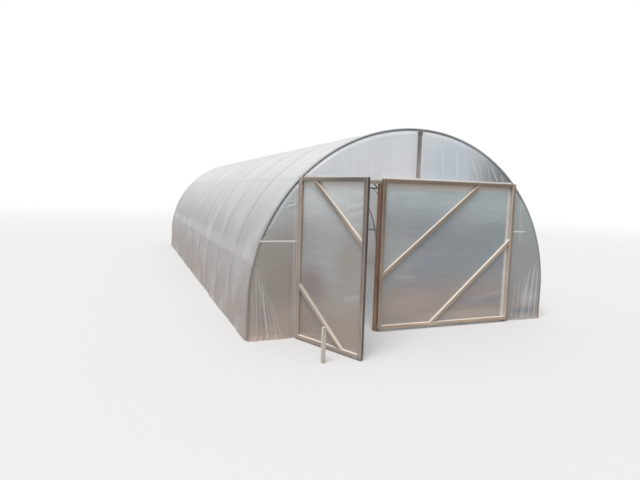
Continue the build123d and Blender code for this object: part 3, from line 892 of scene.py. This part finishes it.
def coverSheet():
    grip = coverLook["grip"]
    wraps = [grip * math.sin(math.radians(angle)) for angle in coverLook["wraps"]]
    along = ([front - wrap for wrap in wraps] + list(np.linspace(front, back, coverLook["columns"]))
             + [back + wrap for wrap in reversed(wraps)])
    sheet, y, arc = cutFilm("coverFilm", along, np.linspace(-halfArc, halfArc, coverLook["rows"]))
    past = np.maximum(front - y, y - back)
    wrapped = np.where(past > 0, np.sqrt(np.maximum(grip ** 2 - past ** 2, 0)), grip)
    run = np.abs(arc)
    middle = np.sin(np.pi * np.clip((y - front) / tunnel["bay"], 0, tunnel["bays"])) ** 2
    sag = np.full_like(run, coverLook["purlinSag"])
    knots = [0, upperPurlinArc, lowerPurlinArc, halfArc]
    for low, high in zip(knots[:-1], knots[1:]):
        part = np.clip((run - low) / (high - low), 0, 1)
        sag += np.where((run >= low) & (run < high), coverLook["openSag"] * np.sin(np.pi * part), 0)
    low = ease(run, lowerPurlinArc, halfArc)
    sag *= 1 - 0.85 * low
    # pleats that open towards the ground under the lower purlin
    ragged = y + 0.03 * wander(run, 0.3, 5)
    left, right = (0.55 * np.abs(wander(ragged, *fine)) + 0.45 * np.abs(wander(ragged, *broad))
                   for fine, broad in (coverLook["leftPleats"], coverLook["rightPleats"]))
    fold = np.where(arc > 0, right, left)
    below = np.clip((run - lowerPurlinArc) / (halfArc - lowerPurlinArc), 0, 1)
    pleat = fold * coverLook["pleat"] * below ** 0.7 * (0.35 + 0.65 * middle ** 0.5)
    flare = coverLook["flare"] * below ** 5 * (0.4 + 0.6 * np.abs(wander(y, 0.5, 64)))
    # soft slack between the purlins, and faint lengthwise pulls over the roof
    slack = 0.0022 * swell(y, arc, 0.16, 0.7, 65) + 0.0015 * swell(y, arc, 0.06, 0.5, 66)
    slack *= middle * (1 - 0.6 * low)
    out = wrapped - sag * middle + pleat + flare + slack * (run > 0.1)
    ends = ease(past, -0.03, 0)
    x, z = hoopAt(arc, out * (1 - ends) + wrapped * ends)
    z = np.maximum(z + 0.004 * (below > 0.98) * (1 + wander(y, 0.05, 67)), 0.0)
    # the pleats' crests carry the painted crease highlight
    shapeFilm(sheet, np.column_stack((x, y, z)), y - front, arc,
              lambda c: c * np.array([1, 0, 1]) - np.array([0, 0, 0.8]),
              crease=0.5 * ease(fold, 0.35, 0.8) * below ** 0.5)
    2 * halfArc
    dress(sheet, films["cover"], "cover_film", "tunnel", "cover_left_side", "cover_left_slope",
          "cover_left_roof", "cover_right_side", "cover_right_slope", "cover_right_roof")


coverSheet()
print("cover film made")

# stands: what keeps the film from tucking in behind the hoop, as place and half size
endLook = {"gap": 0.0012, "tuck": 0.05, "crease": 0.0013, "lapOut": 0.009, "footRise": 0.06, "skirt": 0.022,
           "hem": 0.0045, "hemFrom": 0.034, "hemTo": 0.012,
           "stands": ((0.0, 2.35, 0.035, 0.07), (1.435, 1.752, 0.05, 0.035), (1.927, 0.814, 0.015, 0.015),
                      (1.86, 1.071, 0.05, 0.018), (1.82, 1.176, 0.05, 0.018))}


def endSheet(name, node, x0, x1, columns, rows, folds, seed, atBack=False, hemAt=None, lapped=None,
             skirt=None):
    # an end wall film under the hoop: its rim is pulled in to the inner side of the pipe, or laps over it
    grip = pipeRadius + 0.001
    low = hemAt or 0.0
    sheet, x, part = cutFilm(f"{name}Film", np.linspace(x0, x1, columns), np.linspace(0, 1, rows) ** 0.9)
    across = np.abs(x)
    lap = ease(across, *lapped) if lapped else np.zeros_like(x)
    reach = lap * (grip + endLook["lapOut"]) - grip
    top = hoopHeight(np.minimum(across, tunnel["halfWidth"] + reach), reach)
    z = low + part * np.maximum(top - low, 0.002)
    inside = insideHoop(x, z)
    tuck = (1 - ease(inside, grip, endLook["tuck"])) * (1 - lap)
    for standX, standZ, wide, tall in endLook["stands"]:
        apart = np.maximum(np.abs(across - standX) - wide, np.abs(z - standZ) - tall)
        tuck = tuck * ease(apart, 0.0, 0.03)
    fade = 1 - 0.9 * ease(inside, 0.08, grip)
    slack = endLook["crease"] * (0.5 + 0.5 * swell(x, z, 0.035, 0.6, seed)) * fade
    slack += 0.5 * endLook["crease"] * (0.5 + 0.5 * swell(x, z, 0.09, 0.9, seed + 1)) * fade
    raised = foldHeight(x, z, folds) * fade
    out = pipeRadius + endLook["gap"] + slack + raised
    # white: the painted highlight on fold crests, and along the skirt's lowest edge
    white = np.clip(raised / 0.008, 0, 1) ** 0.8
    if hemAt:
        rolled = 1 - ease(z, low + endLook["hemTo"], low + endLook["hemFrom"])
        pucker = np.abs(wander(x, 0.016, seed + 3)) * 0.6 + np.abs(wander(x, 0.006, seed + 4)) * 0.4
        out += rolled * endLook["hem"] * pucker
        z = z + rolled * 0.005 * wander(x, 0.05, seed + 5)
    if skirt:
        spread = (1 - ease(z, 0.0, endLook["footRise"])) * ease(across, *skirt)
        out += endLook["skirt"] * spread * (0.35 + 0.65 * np.abs(wander(x, 0.035, seed + 6)))
        white = np.maximum(white, 0.5 * (1 - ease(z, 0.004, 0.030)))
    out = out * (1 - tuck)
    overPipe = lap * (1 - ease(np.abs(inside), pipeRadius * 0.8, pipeRadius * 1.5))
    facing = np.array(backward if atBack else forward, float)
    shapeFilm(sheet, np.column_stack((x, back + out if atBack else front - out, z)), x, z,
              lambda c: np.broadcast_to(facing, c.shape), crease=white, pressed=overPipe)
    wide, tall = abs(x1 - x0), float(z.max() - z.min())
    dress(sheet, films[name], "end_film", "tunnel", node)


# places of the folds: from, to, half width and height of each
gableFolds = [(-0.246, 1.80, -0.258, 2.13, 0.008, 0.0040), (0.061, 1.80, 0.034, 2.30, 0.008, 0.0055),
              (0.344, 1.80, 0.322, 2.20, 0.007, 0.0060), (0.555, 1.80, 0.532, 2.20, 0.008, 0.0060),
              (0.70, 1.80, 0.650, 2.10, 0.007, 0.0035), (0.876, 1.80, 0.738, 2.08, 0.008, 0.0060),
              (0.93, 1.80, 0.860, 2.04, 0.007, 0.0035), (1.05, 1.80, 1.00, 2.02, 0.007, 0.0040),
              (1.170, 1.80, 1.046, 2.00, 0.008, 0.0060), (1.26, 1.80, 1.21, 1.90, 0.007, 0.0050),
              (-0.62, 1.80, -0.60, 2.05, 0.014, 0.0020), (-0.95, 1.80, -0.90, 1.98, 0.012, 0.0020),
              (-1.16, 1.80, -1.10, 1.92, 0.009, 0.0030), (-0.80, 2.14, -0.42, 2.26, 0.010, 0.0022),
              (-0.42, 2.255, -0.10, 2.31, 0.010, 0.0022), (-0.13, 1.80, -0.15, 2.02, 0.016, 0.0030)]
rng = np.random.RandomState(7)
leftFolds = [(-1.972 + 0.035 * i + rng.uniform(-.01, .01), 0.98 - 0.09 * i, -1.955 + 0.058 * i, -0.05,
              rng.uniform(0.006, 0.010), rng.uniform(0.002, 0.004)) for i in range(7)]
leftFolds += [(-1.965, 0.60, -1.915, -0.05, 0.006, 0.0032), (-1.907, 0.76, -1.768, -0.05, 0.006, 0.0036),
              (-1.854, 0.55, -1.762, -0.05, 0.005, 0.0034), (-1.505, 1.74, -1.508, 0.0, 0.010, 0.003),
              (-1.61, 1.435, -1.485, 1.465, 0.010, 0.0060), (-1.60, 1.490, -1.50, 1.500, 0.006, 0.0040)]
rightFolds = [(1.56 + 0.075 * i + rng.uniform(-.012, .012), 0.52 + 0.05 * i, 1.53 + 0.080 * i, -0.05,
               rng.uniform(0.008, 0.012), rng.uniform(0.001, 0.003)) for i in range(5)]
rightFolds += [(1.808, 0.72, 1.686, -0.05, 0.007, 0.006), (1.883, 0.77, 1.806, -0.05, 0.008, 0.007),
               (1.936, 0.70, 1.918, -0.05, 0.007, 0.007), (1.746, 0.52, 1.736, -0.05, 0.007, 0.005),
               (1.56, 1.60, 1.60, 1.0, 0.016, 0.002)]
backFolds = [(x + rng.uniform(-.06, .06), -0.12, x + rng.uniform(-.10, .10), rng.uniform(0.25, 1.25),
              rng.uniform(0.007, 0.020), rng.uniform(0.0012, 0.0045)) for x in np.linspace(-1.86, 1.86, 30)]
endSheet("gable", "gable_film", -1.424, 1.424, 520, 44, gableFolds, 71, hemAt=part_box("gable_film")[0].z)
endSheet("leftCheek", "left_cheek_film", -2.008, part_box("left_cheek_film")[1].x, 132, 170, leftFolds, 73,
         lapped=(1.80, 1.90), skirt=(1.53, 1.63))
endSheet("rightCheek", "right_cheek_film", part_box("right_cheek_film")[0].x, 2.008, 138, 170, rightFolds, 75,
         lapped=(1.55, 1.66), skirt=(1.52, 1.60))
endSheet("back", "back_film", -1.9852, 1.9852, 300, 130, backFolds, 77, atBack=True)
print("end films made")


def leafSheet(side, folds, seed):
    # film on the back of a leaf, tight along the frame and loose in its openings
    leaf, face, inset = leafLook[side], leafSizes["face"], leafSizes["inset"]
    width, foot, top = leaf["width"], leaf["foot"], leaf["top"]
    x0, x1, z0, z1 = inset, width - inset, foot + inset, top - inset
    sheet, along, z = cutFilm(f"{side}LeafFilm", np.linspace(x0, x1, round((x1 - x0) / leafSizes["mesh"])),
                              np.linspace(z0, z1, round((z1 - z0) / leafSizes["mesh"])))
    fromEdge = np.minimum(np.minimum(along - face, width - face - along),
                          np.minimum(z - foot - face, top - face - z))
    free = ease(fromEdge, 0.0, 0.06)
    ripple = 0.0012 * swell(along, z, 0.30, 0.05, seed) + 0.0010 * swell(along, z, 0.12, 0.03, seed + 1)
    raised = foldHeight(along, z, folds) * free
    out = np.maximum(0.0004 + free * (0.0011 + ripple * 0.8) + raised, 0.0003)
    places = np.column_stack((leaf["side"] * (leafSizes["aside"] + along), leafSizes["back"] + out, z))
    rest = np.array(restMatrix(leaf))
    facing = rest[:3, :3] @ np.array(forward, float)
    # the folds' crests carry the painted crease highlight
    shapeFilm(sheet, places @ rest[:3, :3].T + rest[:3, 3], along, z,
              lambda c: np.broadcast_to(facing, c.shape), crease=np.clip(raised / 0.006, 0, 1))
    x1 - x0
    z1 - z0
    dress(sheet, films[f"{side}Leaf"], "end_film", f"{side}_leaf", f"{side}_leaf_film")


# folds of the leaf films, from the hinge side and the ground
leftLeafFolds = [(0.58, 1.655, 0.91, 1.610, 0.020, 0.0035), (0.64, 1.49, 0.91, 1.507, 0.022, 0.0030),
                 (0.70, 1.405, 0.91, 1.440, 0.018, 0.0035), (0.76, 1.32, 0.91, 1.30, 0.022, 0.0020),
                 (0.66, 0.55, 0.90, 0.62, 0.030, 0.0020), (0.06, 1.36, 0.30, 1.42, 0.030, 0.0015)]
rightLeafFolds = [(0.10, 1.672, 0.90, 1.690, 0.024, 0.0020), (1.20, 1.655, 1.86, 1.620, 0.022, 0.0025),
                  (1.35, 0.62, 1.86, 0.68, 0.035, 0.0018), (0.06, 0.42, 0.60, 0.30, 0.035, 0.0018),
                  (1.845, 1.60, 1.850, 0.30, 0.012, 0.0050)]
leafSheet("left", leftLeafFolds, 81)
leafSheet("right", rightLeafFolds, 85)
print("leaf films made")

# ironwork and the stake: the frame's own hinges and hook are kept, with new materials

for node, steel in (("left_post_hinges", "zincHinge"), ("right_post_hinges", "zincHinge"),
                    ("left_leaf_hinges", "zincHinge"), ("right_leaf_hinges", "zincHinge"),
                    ("door_hook", "blackHook")):
    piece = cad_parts[node]
    piece.data.materials.clear()
    piece.data.materials.append(steels[steel])

# cuts: two slanted planes across the top, as a place beside its middle and the way each faces
stakeLook = {"side": 0.033, "cuts": ((0.012, (0.45, -0.10, 1)), (-0.013, (-0.8, 0.3, 1)))}
low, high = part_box("door_stake")
foot = Vector(((low.x + high.x) / 2, (low.y + high.y) / 2, 0))
top = foot + Vector((0, 0, high.z))
# painted shade on one side of the stake and painted light on the other; the stake is darker towards its top
stake = sawnBoard(foot, top, stakeLook["side"], stakeLook["side"], forward, 91,
                  [(top + Vector((x, 0, 0)), slant) for x, slant in stakeLook["cuts"]],
                  tone=(0.45, 0.60), sideTones=(0.45, 0.0), litSides=(0.0, 0.8))
stake.name = "doorStakeTimber"
dress(stake, woods["stake"], "stake", "tunnel", "door_stake")
print("ironwork and stake made")

# screws, staples and lashings: one of each is modelled, and the rest are copies

# staple: length, width and thickness; corner and braceEnd: how far the screws stand off a joint's middle
fastenLook = {"head": 0.0042, "rise": 0.0016, "sunk": 0.0003, "staple": (0.010, 0.0009, 0.0006),
              "stapleEdge": 0.0002, "stapleStep": 0.14, "rim": 0.02, "rimStart": 0.06, "postRim": 0.014,
              "screwSeat": 0.0002, "stapleSeat": 0.0004,
              "corner": 0.014, "braceEnd": ((0.030, 0.010), (0.020, -0.010)), "wire": 0.0005, "lash": 0.0140}


def facingMatrix(place, facing, turn):
    return (Matrix.Translation(place) @ Vector(facing).to_track_quat("Z", "Y").to_matrix().to_4x4()
            @ Matrix.Rotation(turn, 4, "Z"))


def copiesAt(first, name, matrices, steel, slot, body):
    pieces = []
    for i, matrix in enumerate(matrices):
        pieces.append(copyOf(first, f"{name}{i}"))
        pieces[-1].data.transform(matrix)
    dress(joined(name, pieces), steels[steel], slot, body)


def firstScrew():
    # a flat round head, a little sunk into the wood
    head = newMesh(bpy.ops.mesh.primitive_cylinder_add, vertices=12, radius=fastenLook["head"],
                   depth=fastenLook["rise"], location=(0, 0, fastenLook["rise"] / 2 - fastenLook["sunk"]))
    bpy.ops.object.shade_smooth_by_angle(angle=math.radians(40))
    return head


def firstStaple():
    # the crown of a wire staple
    length, wide, thick = fastenLook["staple"]
    staple = newMesh(bpy.ops.mesh.primitive_cube_add, size=1, location=(0, 0, thick / 2),
                     scale=(length, wide, thick))
    bevel(staple, fastenLook["stapleEdge"])
    return staple


def screwPlaces(leaf):
    # places on the front of a leaf: two at each corner lap and two at each brace end
    width, top, face, foot = leaf["width"], leaf["top"], leafSizes["face"], leaf["foot"]
    places = []
    for x in (face / 2, width - face / 2):
        for z in (foot + face / 2, top - face / 2):
            slant = 1 if (x < width / 2) == (z < top / 2) else -1
            places += [(x + way * fastenLook["corner"], z + slant * way * fastenLook["corner"])
                       for way in (-1, 1)]
    for rail, stile in braceEnds(leaf):
        run = (Vector(stile) - Vector(rail)).normalized()
        aside = Vector((-run.y, run.x))
        for place, inward in ((Vector(rail), run), (Vector(stile), -run)):
            places += [tuple(place + inward * along + aside * away) for along, away in fastenLook["braceEnd"]]
    return places


def leafFastenings(side, seed):
    leaf, step, rim = leafLook[side], fastenLook["stapleStep"], fastenLook["rim"]
    spin = np.random.RandomState(seed)
    rest = restMatrix(leaf)

    def on(x, y, z, facing, turn):
        return rest @ facingMatrix((leaf["side"] * (leafSizes["aside"] + x), y, z), facing, turn)

    outFace = leafSizes["back"] - leafSizes["depth"] + fastenLook["screwSeat"]
    screws = [on(x, outFace, z, forward, spin.uniform(0, 3)) for x, z in screwPlaces(leaf)]
    copiesAt(screw, f"{side}LeafScrews", screws, "screwSteel", "hinge", f"{side}_leaf")
    x0, x1, z0, z1 = rim, leaf["width"] - rim, leaf["foot"] + rim, leaf["top"] - rim
    places = [(x, z, 0) for z in (z0, z1) for x in np.arange(x0, x1, step)]
    places += [(x, z, 1) for x in (x0, x1) for z in np.arange(z0 + fastenLook["rimStart"], z1, step)]
    staples = [on(x, leafSizes["back"] + fastenLook["stapleSeat"], z, backward,
                  upright * math.pi / 2 + spin.uniform(-0.3, 0.3)) for x, z, upright in places]
    copiesAt(staple, f"{side}LeafStaples", staples, "darkWire", "wire", f"{side}_leaf")


screw = firstScrew()
staple = firstStaple()
leafFastenings("left", 101)
leafFastenings("right", 102)


def stapleRun(name, facing, *rows):
    # staples seated on the film where it lies; each row is where it stays and where it runs from and to
    spots = vertexPlaces(bpy.data.objects[f"{name}Film"])
    places = []
    for upright, stays, start, stop in rows:
        for runs in np.arange(start, stop, fastenLook["stapleStep"]):
            places.append((stays, runs, 1) if upright else (runs, stays, 0))
    spin = np.random.RandomState(len(places))
    matrices = []
    for x, z, upright in places:
        nearest = spots[np.argmin((spots[:, 0] - x) ** 2 + (spots[:, 2] - z) ** 2)]
        matrices.append(facingMatrix(nearest, facing, upright * math.pi / 2 + spin.uniform(-0.4, 0.4)))
    copiesAt(staple, f"{name}Staples", matrices, "darkWire", "wire", "tunnel")


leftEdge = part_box("left_post")[0].x + fastenLook["postRim"]
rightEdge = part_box("right_post")[1].x - fastenLook["postRim"]
headMiddle = sum(corner.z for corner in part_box("door_head")) / 2
backEdge = backHigh.x - postHalf
stapleRun("gable", forward, (False, 1.770, -1.40, 1.42))
stapleRun("leftCheek", forward, (True, leftEdge, 0.06, 1.72))
stapleRun("rightCheek", forward, (True, rightEdge, 0.06, 1.68))
stapleRun("back", backward, (False, headMiddle, -1.3, 1.35), (True, -backEdge, 0.06, 1.70),
          (True, backEdge, 0.06, 1.70))


def firstLashing():
    # binding wire slung both ways round a crossing: hoop along X, purlin along Y under it
    reach, drop = fastenLook["lash"], 2 * pipeRadius
    turns = np.linspace(-math.pi / 2, math.pi / 2, 9)
    loops = []
    for way in (-1, 1):
        points = [(reach * turn / math.pi, way * reach * math.sin(turn), reach * math.cos(turn))
                  for turn in turns]
        points += [(reach * math.sin(turn), way * reach * turn / math.pi, -drop - reach * math.cos(turn))
                   for turn in reversed(turns)]
        curve = bpy.data.curves.new("lash", "CURVE")
        curve.dimensions = "3D"
        curve.bevel_depth = fastenLook["wire"]
        curve.bevel_resolution = 0
        spline = curve.splines.new("POLY")
        spline.points.add(len(points) - 1)
        for point, place in zip(spline.points, points):
            point.co = (*place, 1)
        spline.use_cyclic_u = True
        loop = bpy.data.objects.new("lash", curve)
        bpy.context.scene.collection.objects.link(loop)
        only(loop)
        bpy.ops.object.convert(target="MESH")
        loops.append(bpy.context.object)
    return joined("lashing", loops)


lashing = firstLashing()
crossings = []
for arc in (-lowerPurlinArc, -upperPurlinArc, 0.0, upperPurlinArc, lowerPurlinArc):
    (x, z), (outX, outZ) = hoopAt(arc, 0.0), hoopAt(arc, 1.0)
    radial = Vector((outX - x, 0, outZ - z))
    for i in range(tunnel["bays"] + 1):
        crossing = Matrix((Vector(backward).cross(radial), backward, radial)).transposed().to_4x4()
        crossing.translation = (x, front + i * tunnel["bay"], z)
        crossings.append(crossing)
copiesAt(lashing, "purlinLashings", crossings, "darkWire", "wire", "tunnel")

# places and sizes of the strap, out from the front hoop's middle
strapLook = {"out": 0.0178, "height": 2.338, "size": (0.066, 0.0024, 0.058), "edge": 0.0008,
             "screwOut": 0.0189, "screws": ((-0.018, 2.322), (0.018, 2.322), (0.0, 2.346))}


def crownStrap():
    # flat strap with three screws that holds the king post up to the front hoop
    strap = newMesh(bpy.ops.mesh.primitive_cube_add, size=1, scale=strapLook["size"],
                    location=(0.0, front - strapLook["out"], strapLook["height"]))
    bevel(strap, strapLook["edge"], 2)
    pieces = [strap]
    for i, (x, z) in enumerate(strapLook["screws"]):
        pieces.append(copyOf(screw, f"strapScrew{i}"))
        pieces[-1].data.transform(facingMatrix((x, front - strapLook["screwOut"], z), forward, i))
    strap = joined("crownStrap", pieces)
    bpy.ops.object.shade_smooth_by_angle(angle=math.radians(35))
    dress(strap, steels["galvanisedPipe"], "pipe", "tunnel")


crownStrap()
for first in (screw, staple, lashing):
    bpy.data.objects.remove(first, do_unlink=True)
print("fastenings made")

# floor, light and camera

floorLook = {"radius": 60.0, "under": 0.0005, "colour": (0.80, 0.80, 0.795), "unseen": (0.34, 0.33, 0.32),
             "fadeFrom": 11.0, "fadeTo": 34.0}
bpy.ops.object.select_all(action="DESELECT")
bpy.ops.mesh.primitive_circle_add(vertices=96, radius=floorLook["radius"], fill_type="NGON",
                                  location=(0, 0, -floorLook["under"]))
floor = bpy.context.object
floor.name = "floor"
paint = Paint(bpy.data.materials.new("floorPaint"))
away = paint.node("ShaderNodeVectorMath", {"operation": "LENGTH"}, {0: paint.place()}, out=1)
fade = paint.between(away, floorLook["fadeFrom"], floorLook["fadeTo"])
colour = paint.blend(paint.seen(), floorLook["unseen"], floorLook["colour"])
ground = paint.node("ShaderNodeBsdfPrincipled", {}, {"Base Color": colour, "Roughness": 0.9})
floor.data.materials.append(paint.finish(paint.layered(fade, ground, paint.clear())))

lightLook = {"sky": 0.54, "sun": 2.0, "sunSize": 38.0, "sunFrom": (-0.34, -0.40, 0.85)}
paint = Paint(bpy.data.worlds.new("studio"))
strength = paint.node("ShaderNodeMapRange", {}, {"Value": paint.seen(), "To Min": lightLook["sky"]})
sky = paint.node("ShaderNodeBackground", {}, {"Color": (1, 1, 1, 1), "Strength": strength})
bpy.context.scene.world = paint.finish(sky, "ShaderNodeOutputWorld")

bpy.ops.object.select_all(action="DESELECT")
bpy.ops.object.light_add(type="SUN", location=(0, 0, 8))
sun = bpy.context.object
sun.data.energy = lightLook["sun"]
sun.data.angle = math.radians(lightLook["sunSize"])
sun.rotation_mode = "QUATERNION"
sun.rotation_quaternion = Vector(lightLook["sunFrom"]).to_track_quat("Z", "Y")

# focus: the lens as a share of the picture's width
cameraLook = {"place": (-3.1909, -9.3238, 1.599), "yaw": 0.3739, "pitch": 0.0953, "roll": 0.0315,
              "focus": 493.68 / 640, "sensor": 36}
cameraData = bpy.data.cameras.new("camera")
cameraData.lens = cameraLook["focus"] * cameraLook["sensor"]
cameraData.sensor_width = cameraLook["sensor"]
camera = bpy.data.objects.new("camera", cameraData)
bpy.context.scene.collection.objects.link(camera)
camera.matrix_world = (Matrix.Translation(cameraLook["place"]) @ Matrix.Rotation(-cameraLook["yaw"], 4, "Z")
                       @ Matrix.Rotation(math.pi / 2 - cameraLook["pitch"], 4, "X")
                       @ Matrix.Rotation(cameraLook["roll"], 4, "Z"))
bpy.context.scene.camera = camera
bpy.context.scene.view_settings.view_transform = "Standard"
print("floor, light and camera placed")
